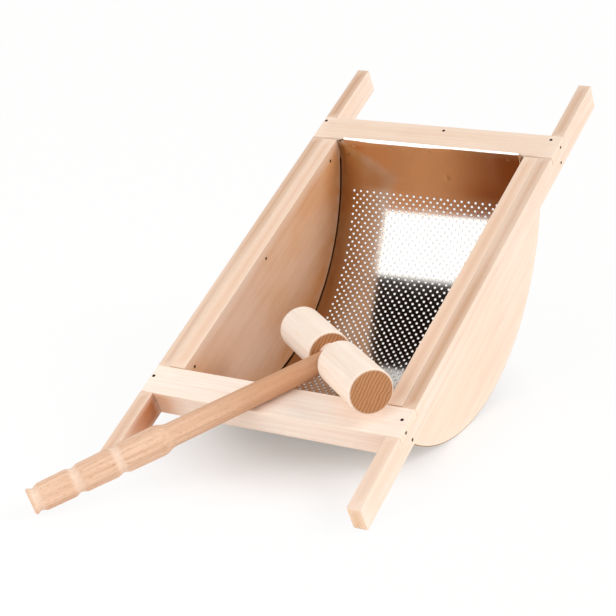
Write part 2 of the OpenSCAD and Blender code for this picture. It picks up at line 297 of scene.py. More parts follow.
# cheeks: painted shade on the tops, painted orange-brown shade on the inner face, and near-black painted shade on
# the faces of the gap above the sheet
cheekLook = dict(
    armLook, light=paint(251, 230, 213), mid=paint(241, 210, 186), dark=paint(220, 182, 152),
    pith=(-0.16, 0, -0.05), ringsPerMetre=210.0, ringDepth=0.22, mottle=0.5, streak=0.16,
    topShade=paint(242, 227, 214), shadeColour=paint(233, 186, 138), blotch=(0.72, 1.15), gapShadeColour=paint(60, 32, 18))
backBarLook = dict(
    armLook, light=paint(249, 227, 208), mid=paint(238, 206, 180), dark=paint(216, 176, 146),
    endLight=paint(248, 226, 206), endDark=paint(232, 200, 172), pith=(0.012, 0, -0.14),
    ringsPerMetre=300.0, ringDepth=0.35, topShade=None, shadeColour=None)
# front crossbar: painted orange-brown shade on its inner face and in its left front corner
frontBarLook = dict(
    backBarLook, light=paint(254, 241, 229), mid=paint(246, 219, 199), dark=paint(218, 176, 146),
    ringDepth=0.32, shadeColour=paint(226, 180, 138))
headLook = dict(
    armLook, light=paint(254, 241, 228), mid=paint(246, 220, 197), dark=paint(224, 184, 152),
    endLight=paint(198, 142, 97), endDark=paint(134, 82, 46), pith=(0.16, 0, 0.06), sway=(64.0, 0.005),
    ringDepth=0.25, fleck=0.08, topShade=None, shadeColour=None)
# the handle is darker and browner towards the head
handleLook = dict(
    armLook, light=paint(237, 203, 176), mid=paint(219, 176, 144), dark=paint(172, 117, 81),
    endDark=paint(206, 160, 122), pith=(0.05, 0, 0.02), ringsPerMetre=380.0, ringDepth=0.5,
    fleck=0.3, fleckGrain=(760.0, 0.3, 0.55, 0.76), streak=0.36, topShade=None, shadeColour=None,
    toneShift=(1.08, 0.94, paint(192, 134, 92)))
looks = {"arm": armLook, "cheek": cheekLook, "backBar": backBarLook, "frontBar": frontBarLook,
         "head": headLook, "handle": handleLook}
woods = {kind: woodShader(kind + "Wood", look) for kind, look in looks.items()}


# rolled metal, smeared, with a painted warm reflection of the wood along the cheeks and on the plain part above
# the holes
sheetLook = {
    "tint": paint(206, 202, 196), "dull": paint(188, 180, 170), "dullShare": 0.5,
    "rolled": (0.03, 900.0), "smear": (26.0, 4.0, 0.62), "smearBand": (0.42, 0.74),
    "rough": (0.08, 0.14), "rolledRough": 0.06, "bump": (0.08, 0.06 * mm),
    "warmReflection": paint(186, 152, 106), "warmReflectionFrom": (56 * mm, 84 * mm), "warmReflectionSmear": (0.8, 1.0),
    "plainFrom": (12 * mm, 62 * mm), "plainTo": (53 * mm, 45 * mm),
    "plainShare": (26 * mm, 42 * mm, 0.48, 0.85), "bare": (3 * mm, 9 * mm),
}


def sheetShader(look):
    s = newShader("brightSheet")
    at = s.attribute("grainPlace", "Vector")
    rolled = s.grain(at, *look["rolled"])
    smear = s.span(s.noise(at, *look["smear"]), *look["smearBand"])
    where = s.axes(at)
    across, down = s.math("ABSOLUTE", where["X"]), where["Y"]
    # painted reflection: a warm wood colour along the cheeks and on the plain part above the holes, kept off the
    # top strip
    share = s.times(s.span(down, *look["plainTo"]), s.span(down, *look["plainShare"]))
    plain = s.times(s.span(across, *look["plainFrom"]), share)
    edge = s.math("MAXIMUM", s.span(across, *look["warmReflectionFrom"]), plain)
    edge = s.times(s.times(edge, s.span(smear, 0, 1, *look["warmReflectionSmear"])), s.span(down, *look["bare"]))
    bright = s.tint(look["tint"], smear, look["dullShare"], look["dull"])
    rough = s.math("ADD", s.span(smear, 0, 1, *look["rough"]), s.times(rolled, look["rolledRough"]))
    s.coat(Base_Color=s.mix(edge, bright, look["warmReflection"]), Metallic=1.0, Roughness=rough)
    s.bump(rolled, *look["bump"])
    return s.owner


nailLook = {"bare": paint(58, 50, 44), "rust": paint(84, 52, 34), "metallic": 0.85, "rough": (0.42, 0.7),
            "patch": (900.0, 4.0, 0.6), "patchBand": (0.4, 0.68), "pits": 1800.0, "bump": (0.4, 0.1 * mm)}


def nailShader(look):
    s = newShader("darkIron")
    at = s.add("ShaderNodeTexCoord")["Object"]
    patch = s.span(s.noise(at, *look["patch"]), *look["patchBand"])
    s.coat(Base_Color=s.mix(patch, look["bare"], look["rust"]), Metallic=look["metallic"],
           Roughness=s.span(patch, 0, 1, *look["rough"]))
    s.bump(s.noise(at, look["pits"]), *look["bump"])
    return s.owner


sheetMetal = sheetShader(sheetLook)
nailIron = nailShader(nailLook)
print("materials:", len(bpy.data.materials))


def smoothstep(a, b, x):
    t = min(1.0, max(0.0, (x - a) / (b - a)))
    return t * t * (3 - 2 * t)


def meshFrom(bm, name):
    mesh = bpy.data.meshes.new(name)
    bm.to_mesh(mesh)
    bm.free()
    return mesh


def addMesh(name, mesh, material, body, stands):
    made = bpy.data.objects.new(name, mesh)
    scene.collection.objects.link(made)
    mesh.materials.append(material)
    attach(made, body)
    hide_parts(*stands)


def edgeDistance(point, edges):
    def distance(a, b):
        ab = b - a
        t = max(0.0, min(1.0, (point - a).dot(ab) / ab.length_squared))
        return (point - a - ab * t).length
    return min(distance(a, b) for a, b in edges)


# what the wood reads: place along the grain, rubbed edges and the share of painted shade at each point,
# and which faces are end grain, on top (for the painted shade on tops), in the trough, or in the painted shade of
# the gap above the sheet
faceBands = {"end": (0.45, 0.8), "top": (0.3, 0.95), "inside": (0.5, 0.95)}


def markWood(bm, alongAxis, edges, look):
    place = bm.verts.layers.float_vector.new("grainPlace")
    rub, near = [bm.verts.layers.float.new(k) for k in ("rubbedEdge", "shadeShare")]
    end, top, inside, gapShade = [bm.faces.layers.float.new(k)
                              for k in ("endGrain", "shadedTop", "insideFace", "gapShadeFace")]
    bm.normal_update()
    for v in bm.verts:
        p = v.co
        v[place] = (p if alongAxis == 1 else p.yxz) + Vector(look["seed"])
        v[rub] = max(0.0, 1.0 - edgeDistance(p, edges) / look["rubReach"])
        v[near] = look["near"](p)
    for f in bm.faces:
        f[end] = smoothstep(*faceBands["end"], abs(f.normal[alongAxis]))
        f[top] = smoothstep(*faceBands["top"], f.normal.z) * look["tan"](f)
        f[inside] = smoothstep(*faceBands["inside"], look["inside"](f.normal))
        f[gapShade] = look["gapShade"](f)


def slicePlanes(bm, axis, places):
    for at in places:
        normal = Vector([i == axis for i in range(3)])
        bmesh.ops.bisect_plane(bm, geom=bm.verts[:] + bm.edges[:] + bm.faces[:], dist=1e-7,
                               plane_co=normal * at, plane_no=normal)


def steps(low, high, size):
    n = max(1, round((high - low) / size))
    return [low + (high - low) * i / n for i in range(1, n)]


# a sawn board: an outline run along one bench axis, its edges eased, its faces a little uneven
boardLook = {
    "sharp": radians(25), "ease": 0.9 * mm, "easeSteps": 3, "easeShape": 0.6,
    "slice": (0.008, 0.012, 0.0065), "extra": (), "trim": None,
    "uneven": 0.06 * mm, "lumps": 26, "rubReach": 3.5 * mm,
    "inside": lambda n: 0.0, "near": lambda p: 1.0, "gapShade": lambda f: 0.0, "tan": lambda f: 1.0,
}


def makeBoard(name, outline, runAxis, low, high, along, wood, stands, look):
    bm = bmesh.new()
    other = 0 if runAxis == 1 else 1

    def put(point, at):
        co = Vector((0, 0, point[1]))
        co[other], co[runAxis] = point[0], at
        return bm.verts.new(co)
    first = [put(p, low) for p in outline]
    last = [put(p, high) for p in outline]
    bm.faces.new(first)
    bm.faces.new(last[::-1])
    for i in range(len(outline)):
        j = (i + 1) % len(outline)
        bm.faces.new((first[j], first[i], last[i], last[j]))
    bmesh.ops.recalc_face_normals(bm, faces=bm.faces[:])
    sharp = [e for e in bm.edges if e.calc_face_angle(0) > look["sharp"]]
    edges = [(e.verts[0].co.copy(), e.verts[1].co.copy()) for e in sharp]
    eased = bmesh.ops.bevel(bm, geom=sharp, offset=look["ease"], segments=look["easeSteps"],
                            profile=look["easeShape"], affect="EDGES", clamp_overlap=True)
    for f in eased["faces"]:
        f.smooth = True
    lo, hi = boxOf([v.co for v in bm.verts])
    for axis in range(3):
        slicePlanes(bm, axis, steps(lo[axis], hi[axis], look["slice"][axis]))
    for axis, places in look["extra"]:
        slicePlanes(bm, axis, places)
    if look["trim"]:
        for v in bm.verts:
            v.co = look["trim"](v.co)
    seed, uneven = Vector(look["seed"]), look["uneven"]
    bm.normal_update()
    for v in bm.verts:
        v.co += v.normal * (noise.noise(v.co * look["lumps"] + seed) * uneven - uneven)
    markWood(bm, along, edges, look)
    for v in bm.verts:
        v.co = fromBench(v.co)
    addMesh(name, meshFrom(bm, name), wood, "frame", stands)


# the right board and its mirror image on the left, each with its own settings
def bothSides(piece, outline, lo, hi, look, own):
    kind = piece.lower()
    for side, way in (("right", 1), ("left", -1)):
        low, high = sorted((way * lo.x, way * hi.x))
        makeBoard(side + piece, outline, 0, low, high, 1, woods[kind], [side + "_" + kind],
                  dict(look, inside=lambda n, w=way: -w * n.x, **own[side]))


# arms: long rails with a notch at each crossbar
armShape = {"bevel": 1.5 * mm, "shadeReach": (85 * mm, 10 * mm), "topShadeTurn": (-40 * mm, 40 * mm)}


def armOutline():
    near, far, lap = barLo.y, barHi.y, -lapDepth
    low, end, bevel = armLo.z, armHi.y, armShape["bevel"]
    return [(-end, 0), (-end, low + bevel), (-end + bevel, low), (end - bevel, low), (end, low + bevel), (end, 0),
            (far, 0), (far, lap), (near, lap), (near, 0), (-near, 0), (-near, lap), (-far, lap), (-far, 0)]


# painted shade darkens the legs' inner faces next to the front crossbar, as the shadow in that corner
def legShade(p):
    return smoothstep(*armShape["shadeReach"], -barHi.y - p.y) if p.y < -barHi.y + mm else 0.0


# painted shade on the tops, darker than the sides as the light falls: one share for the leg, one behind the front
# crossbar and one further back
def topShadeByPlace(leg, near, back):
    def share(f):
        y = f.calc_center_median().y
        return leg if y < -barHi.y else near + (back - near) * smoothstep(*armShape["topShadeTurn"], y)
    return share


# arms: painted shade in the legs' corners, and painted shade on the tops with its own shares on each side
bothSides("Arm", armOutline(), armLo, armHi, dict(boardLook, near=legShade),
          {"right": {"seed": (0.31, 0.7, 0.05), "tan": topShadeByPlace(leg=0.3, near=0.93, back=0.64)},
           "left": {"seed": (0.13, 2.2, -0.02), "tan": topShadeByPlace(leg=0.64, near=0.6, back=0.84)}})


# cheeks: round-bellied side boards. The round edge is undercut towards the trough, which leaves a dark
# gap above the sheet, and its faces are painted near black as shade. Painted shade darkens the inner face most
# along the sheet
cheekShape = {
    "arcSteps": 72, "underCut": 1.4 * mm, "underReach": 3 * mm, "roundBelow": -20 * mm, "gapShadeBand": (0.4, 0.8),
    "shadeFar": 0.72, "shadeReach": (46 * mm, 4 * mm), "toneShift": 0.32, "paleTurn": (0, -60 * mm),
}


def fromBelly(p):
    return Vector((0, p.y - bellyMid[0], p.z - bellyMid[1]))


def onRound(radius, a):
    return bellyMid[0] + radius * sin(a), bellyMid[1] - radius * cos(a)


def roundAngle(radius, y):
    return asin((y - bellyMid[0]) / radius)


def cheekOutline():
    a0, a1 = (roundAngle(bellyRadius, y) for y in (cheekLo.y, cheekHi.y))
    n = cheekShape["arcSteps"]
    belly = [onRound(bellyRadius, a0 + (a1 - a0) * i / n) for i in range(n + 1)]
    return [(cheekLo.y, 0)] + belly + [(cheekHi.y, 0)]


def trimCheek(p):
    out, reach = fromBelly(p), cheekShape["underReach"]
    near = (out.length - bellyRadius + reach) / reach
    if near <= 0 or p.z > cheekShape["roundBelow"]:
        return p
    inside = 1 - (abs(p.x) - cheekLo.x) / (cheekHi.x - cheekLo.x)
    return p - out * (cheekShape["underCut"] * near * inside / out.length)


def cheekShade(p):
    paler = smoothstep(*cheekShape["paleTurn"], p.y)   # the painted shade is lighter on the front half
    far = cheekShape["shadeFar"] - cheekShape["toneShift"] * paler
    return far + (1 - far) * smoothstep(*cheekShape["shadeReach"], bellyRadius - fromBelly(p).length)


# painted near-black shade on the undercut faces, for the gap above the sheet
def cheekGapShade(f):
    p = f.calc_center_median()
    along = f.normal.dot(fromBelly(p).normalized())
    return smoothstep(*cheekShape["gapShadeBand"], along) if p.z < cheekShape["roundBelow"] else 0.0


cheekBoard = dict(boardLook, ease=0.7 * mm, slice=(0.0075, 0.012, 0.012),
                  trim=trimCheek, near=cheekShade, gapShade=cheekGapShade)
bothSides("Cheek", cheekOutline(), cheekLo, cheekHi, cheekBoard,
          {"right": {"seed": (0.5, 1.4, 0.1)}, "left": {"seed": (0.9, 3.1, 0.02)}})


# crossbars: their tongues lie in the arms' notches
def barOutline():
    half = [(-barHi.x, 0), (-barHi.x, -lapDepth), (-armLo.x, -lapDepth), (-armLo.x, barLo.z)]
    return half + [(-x, z) for x, z in half[::-1]]


barBoard = dict(boardLook, slice=(0.012, 0.008, 0.0065))


# the sheet's back end leaves the belly's round, stands up and rolls over the crossbar's planed edge,
# furthest a little left of the middle
backEnd = {
    "leave": radians(60), "upright": radians(78), "over": radians(38), "mirrors": radians(60.5),
    "length": 9 * mm, "thick": 0.6 * mm, "play": 0.06 * mm, "slit": 0.5 * mm, "planings": 6,
    "roll": 4.4 * mm, "rollMore": 4 * mm, "rise": (-94 * mm, -60 * mm), "fall": (26 * mm, -6 * mm),
    "waver": 0.5 * mm, "waves": 26, "waveSeed": (2.2, 0.7),
}
sheetRadius = bellyRadius + backEnd["play"]
backFace = sheetHi.y - backEnd["thick"]
leaveY, leaveZ = onRound(sheetRadius, backEnd["leave"])


def rollLength(x):
    more = backEnd["rollMore"] * smoothstep(*backEnd["rise"], x) * smoothstep(*backEnd["fall"], x)
    waver = backEnd["waver"] * noise.noise(Vector((x * backEnd["waves"], *backEnd["waveSeed"])))
    return backEnd["roll"] + more + waver


standRise = sin(backEnd["upright"]) - sin(backEnd["leave"])
standRadius = (backFace - leaveY) / standRise
standLength = standRadius * (backEnd["upright"] - backEnd["leave"])


def backEndAt(x, up):
    # bench Y, Z and slope of the sheet's inner face, at a length up from where it leaves the round
    a, b, c = backEnd["leave"], backEnd["upright"], backEnd["over"]
    s = min(b, a + up / standRadius)
    y = leaveY + standRadius * (sin(s) - sin(a))
    z = leaveZ + standRadius * (cos(a) - cos(s))
    roll = rollLength(x)
    straight = min(max(0.0, up - standLength), backEnd["length"] - roll)
    y, z = y + straight * cos(b), z + straight * sin(b)
    rolled = up - standLength - straight
    if rolled > 0:
        r = roll / (b - c)
        s = b - rolled / r
        y, z = y + r * (sin(b) - sin(s)), z + r * (cos(s) - cos(b))
    return y, z, s


def trimBackBar(p):
    if abs(p.x) > armLo.x:
        return Vector((p.x, max(p.y, barLo.y + backEnd["slit"]), p.z))
    n = backEnd["planings"]
    for i in range(n + 1):
        y, z, s = backEndAt(p.x, standLength + backEnd["length"] * i / n)
        ny, nz = -sin(s), cos(s)
        out = (p.y - y) * ny + (p.z - z) * nz + backEnd["thick"] + backEnd["play"]
        if out > 0:
            p = p - Vector((0, ny, nz)) * out
    return p


fine = [k * mm for k in (0.7, 1.4, 2.1, 2.8, 3.5, 4.2, 5, 6, 7, 8, 9)]   # extra cuts along the planed edge
backBarBoard = dict(barBoard, seed=(0.2, 5.1, 0.01), trim=trimBackBar,
                    extra=((1, [barLo.y + k for k in fine]), (2, [-k for k in fine])))
makeBoard("backCrossbar", barOutline(), 1, barLo.y, barHi.y, 0, woods["backBar"], ["back_crossbar"],
          backBarBoard)


# the front crossbar has painted shade all over its inner face, and outside only in its left corner, as the shadow
# there
cornerShade = {"skin": 5 * mm, "share": 0.85, "from": 34 * mm, "to": 4 * mm}


def frontBarShade(p):
    if p.y > -barLo.y - cornerShade["skin"]:
        return 1.0
    return cornerShade["share"] * smoothstep(armLo.x - cornerShade["from"], armLo.x - cornerShade["to"], -p.x)


frontBarBoard = dict(barBoard, seed=(0.7, 0.3, 0.0), inside=lambda n: abs(n.y), near=frontBarShade)
makeBoard("frontCrossbar", barOutline(), 1, -barHi.y, -barLo.y, 0, woods["frontBar"], ["front_crossbar"],
          frontBarBoard)
print("boards made")


# strainer sheet: bent round the cheeks, its ends up the crossbars, punched in staggered rows
sheetShape = {
    "lip": 1.5 * mm, "step": 1.5 * mm, "backSteps": 10, "roundSteps": 420, "frontSteps": 20, "sideSteps": 6,
    "holeRadius": 1.2 * mm, "holeCorners": 12, "rim": 0.3 * mm, "sink": 0.18 * mm,
    "colPitch": 7.5 * mm, "rowPitch": 4.0 * mm, "columns": 24, "firstRow": 38.5 * mm, "lastRow": 36 * mm,
    "free": (1 * mm, 7 * mm), "sway": 0.1 * mm, "swayScale": (12, 9), "swaySeed": 3.1,
    "calmSide": 30 * mm, "calmEnds": (12 * mm, 40 * mm),
    "dent": {"x": 16 * mm, "along": 31 * mm, "wide": 1.5 * mm, "deep": -0.16 * mm},
    "probe": 0.6 * mm, "alike": 0.7,
}


def sheetPath(shape):
    # points along the sheet's inner face in bench Y, Z, from the back top edge to the front top edge
    frontFace = sheetLo.y + backEnd["thick"]
    a1, a0 = roundAngle(sheetRadius, backFace), roundAngle(sheetRadius, frontFace)
    top, n, m, k = -shape["lip"], shape["backSteps"], shape["roundSteps"], shape["frontSteps"]
    belly = [onRound(sheetRadius, a1 + (a0 - a1) * i / m) for i in range(m + 1)]
    z1, z0 = belly[0][1], belly[-1][1]
    path = [(backFace, top + (z1 - top) * i / n) for i in range(n)] + belly
    path += [(frontFace, z0 + (top - z0) * i / k) for i in range(1, k + 1)]
    lengths = [0.0]
    for p, q in zip(path, path[1:]):
        lengths.append(lengths[-1] + hypot(q[0] - p[0], q[1] - p[1]))
    return path, lengths, lengths[n], lengths[n + m]


def alongPath(path, lengths, s):
    s = min(max(s, 0.0), lengths[-1])
    i = min(bisect_right(lengths, s), len(lengths) - 1) - 1
    t = (s - lengths[i]) / (lengths[i + 1] - lengths[i])
    p, q = path[i], path[i + 1]
    return p[0] + (q[0] - p[0]) * t, p[1] + (q[1] - p[1]) * t


def makeSheet(shape):
    path, lengths, backCrease, frontCrease = sheetPath(shape)
    cell, pitch = shape["colPitch"] / 2, shape["rowPitch"]
    first, last = backCrease + shape["firstRow"], frontCrease - shape["lastRow"]
    rowCount = int((last - first) / pitch)
    rows = [first + i * pitch for i in range(rowCount + 1)]
    upper = [0.0] + steps(0.0, first, shape["step"])
    lines = upper + rows + steps(rows[-1], lengths[-1], shape["step"]) + [lengths[-1]]
    inner = [i * cell for i in range(-shape["columns"], shape["columns"] + 1)]
    margin = shape["sideSteps"]
    sideX = [inner[-1] + (sheetHi.x - inner[-1]) * i / margin for i in range(1, margin + 1)]
    xs = [-x for x in sideX[::-1]] + inner + sideX
    bm = bmesh.new()
    place = bm.verts.layers.float_vector.new("grainPlace")
    dent = shape["dent"]
    leaves = backCrease + (roundAngle(sheetRadius, backFace) - backEnd["leave"]) * sheetRadius

    def freeEnd(x, s):
        # between the cheeks the end stands free of the line that the CAD sheet takes
        free = smoothstep(*[cheekLo.x - k for k in shape["free"]], abs(x))
        return free, backEndAt(x, (standLength + backEnd["length"]) * (1 - max(0.0, s) / leaves))

    def spot(x, s):
        y, z = alongPath(path, lengths, s)
        if s < leaves:
            free, (freeY, freeZ, _) = freeEnd(x, s)
            y, z = y + (freeY - y) * free, z + (freeZ - z) * free
        loose = smoothstep(cheekLo.x, cheekLo.x - shape["calmSide"], abs(x))
        for end in (s, lengths[-1] - s):
            loose *= smoothstep(*shape["calmEnds"], end)
        scaleX, scaleS = shape["swayScale"]
        wave = noise.noise(Vector((x * scaleX, s * scaleS, shape["swaySeed"]))) * shape["sway"] * loose
        away = (x - dent["x"]) ** 2 + (s - dent["along"]) ** 2
        wave -= dent["deep"] * exp(-away / (2 * dent["wide"] ** 2))
        p = Vector((x, y, z))
        return p - fromBelly(p).normalized() * wave

    def surface(x, s):
        e = shape["probe"]
        across = spot(x + e, s) - spot(x - e, s)
        down = spot(x, s + e) - spot(x, s - e)
        return spot(x, s), down.cross(across).normalized()   # the normal points into the trough

    def shadedAs(x, s, n):
        # the stand's bend is soft, so it mirrors what the round below it mirrors
        if s >= leaves:
            return n
        free, (_, _, slope) = freeEnd(x, s)
        turn = max(0.0, slope - backEnd["mirrors"]) * free
        c, k = cos(turn), sin(turn)
        return Vector((n.x, n.y * c + n.z * k, n.z * c - n.y * k))

    facing = []

    def vert(x, s, side, sink=0.0):
        p, n = surface(x, s)
        v = bm.verts.new(p - n * (sink + (backEnd["thick"] if side else 0.0)))
        v[place] = Vector((x, s, 0.0))
        facing.append(tilt @ shadedAs(x, s, n))
        return v

    def flip(loop, side):
        return loop[::-1] if side else loop

    grids = [[[vert(x, s, side) for x in xs] for s in lines] for side in (0, 1)]
    turn = 2 * pi
    n = shape["holeCorners"]
    corners = [turn * k / n for k in range(n)]
    around = ((0, 0), (0, 1), (0, 2), (1, 2), (1, 1), (1, 0))
    rims = []

    def punched(c0, r0):
        # one cell: three grid points above, three below, a hole with a pressed rim between
        midX = xs[c0 + 1]
        midS = (lines[r0] + lines[r0 + 1]) / 2
        angles = [atan2(lines[r0 + r] - midS, xs[c0 + c] - midX) % turn for r, c in around]
        bores = []

        def ring(radius, side, sink=0.0):
            return [vert(midX + radius * cos(a), midS + radius * sin(a), side, sink) for a in corners]

        for side in (0, 1):
            outer = [grids[side][r0 + r][c0 + c] for r, c in around]
            lip = ring(shape["holeRadius"] + shape["rim"], side)
            bore = ring(shape["holeRadius"], side, 0.0 if side else shape["sink"])
            for k, a0 in enumerate(angles):
                after = (k + 1) % len(around)
                reach = (angles[after] - a0) % turn
                inside = [i for i in range(n) if (corners[i] - a0) % turn <= reach + 1e-9]
                inside.sort(key=lambda i: (corners[i] - a0) % turn)
                beyond = lip[(inside[-1] + 1) % n]
                loop = [outer[k], outer[after], beyond] + [lip[i] for i in inside[::-1]]
                bm.faces.new(flip(loop, side))
            for i in range(n):
                j = (i + 1) % n
                rims.append(bm.faces.new(flip([lip[i], lip[j], bore[j], bore[i]], side)))
            bores.append(bore)
        for i in range(n):
            j = (i + 1) % n
            rims.append(bm.faces.new([bores[0][i], bores[0][j], bores[1][j], bores[1][i]]))

    for r in range(len(lines) - 1):
        row = r - len(upper)
        start = margin + row % 2
        stop = len(xs) - 1 - start
        c = 0
        while c < len(xs) - 1:
            if 0 <= row < rowCount and start <= c < stop:
                punched(c, r)
                c += 2
                continue
            for side in (0, 1):
                g = grids[side]
                bm.faces.new(flip([g[r][c], g[r][c + 1], g[r + 1][c + 1], g[r + 1][c]], side))
            c += 1
    # the cut edges of the sheet
    near, far = grids
    for line in (0, len(lines) - 1):
        for c in range(len(xs) - 1):
            quad = [near[line][c], far[line][c], far[line][c + 1], near[line][c + 1]]
            bm.faces.new(flip(quad, line))
    for col in (0, len(xs) - 1):
        for r in range(len(lines) - 1):
            quad = [near[r][col], near[r + 1][col], far[r + 1][col], far[r][col]]
            bm.faces.new(flip(quad, col))
    bmesh.ops.recalc_face_normals(bm, faces=bm.faces[:])
    for f in bm.faces:
        f.smooth = True
    for v in bm.verts:
        v.co = fromBench(v.co)
    bm.faces.index_update()
    flat = {f.index for f in rims}
    mesh = meshFrom(bm, "strainerSheet")
    # both faces shade as the true curve, so the mirror images stay whole between the holes
    shading = []
    for face in mesh.polygons:
        for i in face.vertices:
            same = 0.0 if face.index in flat else face.normal.dot(facing[i])
            along = facing[i] if same > 0 else -facing[i]
            shading.append(along if abs(same) > shape["alike"] else face.normal.copy())
    mesh.normals_split_custom_set(shading)
    print("sheet: rows", rowCount, "faces", len(mesh.polygons))
    addMesh("strainerSheet", mesh, sheetMetal, "frame", ["strainer_sheet"])


makeSheet(sheetShape)


# nails and tacks: each solid of a CAD node gives one, turned about its own shank
def islands(name):
    bm = bmesh.new()
    bm.from_mesh(nodes[name].data)
    bmesh.ops.remove_doubles(bm, verts=bm.verts[:], dist=1e-6)
    left, found = dict.fromkeys(bm.verts), []
    while left:
        group = [left.popitem()[0]]
        for v in group:   # the group grows while it is walked
            for e in v.link_edges:
                w = e.other_vert(v)
                if w in left:
                    del left[w]
                    group.append(w)
        found.append([v.co.copy() for v in group])
    bm.free()
    return found


def middle(points):
    return sum(points, Vector()) / len(points)


def offAxis(p, centre, axis):
    return (p - centre - axis * (p - centre).dot(axis)).length


def circle(axis, sides):
    u = axis.orthogonal().normalized()
    w = axis.cross(u)
    turns = [2 * pi * i / sides for i in range(sides)]
    return [(a, u * cos(a) + w * sin(a)) for a in turns]


def ringFaces(bm, rings, sides):
    # one band of faces between each ring and the next, where a ring may be a single point
    bands = []
    for a, b in zip(rings, rings[1:]):
        bands.append([])
        for i in range(sides):
            j = (i + 1) % sides
            loop = [a[i % len(a)], a[j % len(a)], b[j % len(b)], b[i % len(b)]]
            bands[-1].append(bm.faces.new(list(dict.fromkeys(loop))))
    return bands


# a head's outline: shares of its radius and of its thickness, from the top down
def headTurn(dome, rimDrop):
    return ((0, 0), (0.45, 0.06), (0.78, dome), (0.95, rimDrop), (0.97, 0.9), (0.9, 1))


nailShape = {"sides": 16, "head": headTurn(dome=0.18, rimDrop=0.45), "sunk": 0.0, "facing": None,
             "skin": 0.02 * mm, "rimFrom": 0.9, "tip": 0.95, "alike": 0.6}
tackShape = dict(nailShape, sides=20, head=headTurn(dome=0.1, rimDrop=0.3), sunk=0.28 * mm)


def makeNails(name, node, pointing, shape, metal):
    bm = bmesh.new()
    for cloud in islands(node):
        axis = pointing(middle(cloud)).normalized()
        top = max(p.dot(axis) for p in cloud)
        tail = min(p.dot(axis) for p in cloud)
        face = [p for p in cloud if p.dot(axis) > top - shape["skin"]]
        centre = middle(face)
        headRadius = max(offAxis(p, centre, axis) for p in face)
        foot = [p for p in cloud if p.dot(axis) < tail + shape["skin"]]
        shankRadius = max((p - middle(foot)).length for p in foot)
        rim = headRadius * shape["rimFrom"]
        drop = top - min(p.dot(axis) for p in cloud if offAxis(p, centre, axis) > rim)
        profile = [(headRadius * r, -drop * d) for r, d in shape["head"]]
        end = tail - top
        profile += [(shankRadius, -drop), (shankRadius * shape["tip"], end + 2 * shankRadius), (0, end)]
        start = centre - axis * shape["sunk"]
        rings = []
        for radius, height in profile:
            ways = circle(axis, shape["sides"]) if radius else [(0, Vector())]
            rings.append([bm.verts.new(start + axis * height + way * radius) for _, way in ways])
        ringFaces(bm, rings, shape["sides"])
    bmesh.ops.recalc_face_normals(bm, faces=bm.faces[:])
    for f in bm.faces:
        f.smooth = True
    mesh = meshFrom(bm, name)
    if shape["facing"]:
        # a flush head shades as the sheet round it
        way = benchWay(*shape["facing"])
        mesh.normals_split_custom_set([way if f.normal.dot(way) > shape["alike"] else f.normal.copy()
                                       for f in mesh.polygons for _ in f.vertices])
    addMesh(name, mesh, metal, "frame", [node])


for name, node, way in (("leftCheekNails", "left_cheek_nails", (1, 0, 0)),
                        ("rightCheekNails", "right_cheek_nails", (-1, 0, 0)),
                        ("frontTopNails", "front_top_nails", (0, 0, 1)),
                        ("backTopNails", "back_top_nails", (0, 0, 1))):
    makeNails(name, node, lambda p, w=way: benchWay(*w), nailShape, nailIron)
for side, way in (("left", -1), ("right", 1)):
    for end in ("Front", "Back"):
        makeNails(side + end + "EndNails", side + "_" + end.lower() + "_end_nails",
                  lambda p, w=way: benchWay(w, 0, 0), nailShape, nailIron)
    makeNails(side + "EdgeTacks", side + "_edge_tacks", lambda p: tilt @ fromBelly(toBench(p)),
              nailShape, nailIron)
backTack = dict(tackShape, facing=(0, -sin(backEnd["mirrors"]), cos(backEnd["mirrors"])))
makeNails("frontEndTacks", "front_end_tacks", lambda p: benchWay(0, 1, 0), tackShape, sheetMetal)
makeNails("backEndTacks", "back_end_tacks", lambda p: benchWay(0, -1, 0), backTack, sheetMetal)
print("nails and tacks made")


# pestle: measured from its CAD solids, then turned again with finer marks
def axisOf(points):
    # the longest axis of a cloud of points, by repeated turning of a start that is not square to it
    mid = middle(points)
    cov = Matrix(((0, 0, 0), (0, 0, 0), (0, 0, 0)))
    for p in points:
        d = p - mid
        for i in range(3):
            for j in range(3):
                cov[i][j] += d[i] * d[j]
    way = Vector((1, 0.3, 0.2))
    for _ in range(80):
        way = (cov @ way).normalized()
    return way


turnedLook = {"wanderRound": 1.2, "wanderAlong": 22, "endBand": (0.6, 0.95), "sharp": radians(40)}


def makeTurned(name, node, origin, axis, profile, look, wood):
    # profile: radius, place along the axis and rubbing, turned with a little wander
    bm = bmesh.new()
    place = bm.verts.layers.float_vector.new("grainPlace")
    rub = bm.verts.layers.float.new("rubbedEdge")
    ends = bm.faces.layers.float.new("endGrain")
    seed, round1 = Vector(look["seed"]), look["wanderRound"]
    rings = []
    for radius, at, paler in profile:
        rings.append([])
        for a, way in circle(axis, look["sides"])[:None if radius else 1]:
            where = Vector((cos(a) * round1, sin(a) * round1, at * look["wanderAlong"]))
            r = radius * (1 + look["wander"] * noise.noise(where + seed))
            v = bm.verts.new(origin + axis * at + way * r)
            v[place] = Vector((cos(a) * r, at, sin(a) * r)) + seed
            v[rub] = paler
            rings[-1].append(v)
    for band, (r0, at0, _), (r1, at1, _) in zip(ringFaces(bm, rings, look["sides"]), profile, profile[1:]):
        slope = abs(r1 - r0) / max(1e-9, hypot(r1 - r0, at1 - at0))
        for f in band:
            f[ends] = smoothstep(*look["endBand"], slope)
            f.smooth = True
    bmesh.ops.recalc_face_normals(bm, faces=bm.faces[:])
    for e in bm.edges:
        e.smooth = e.calc_face_angle(0) < look["sharp"]
    addMesh(name, meshFrom(bm, name), wood, "pestle", [node])


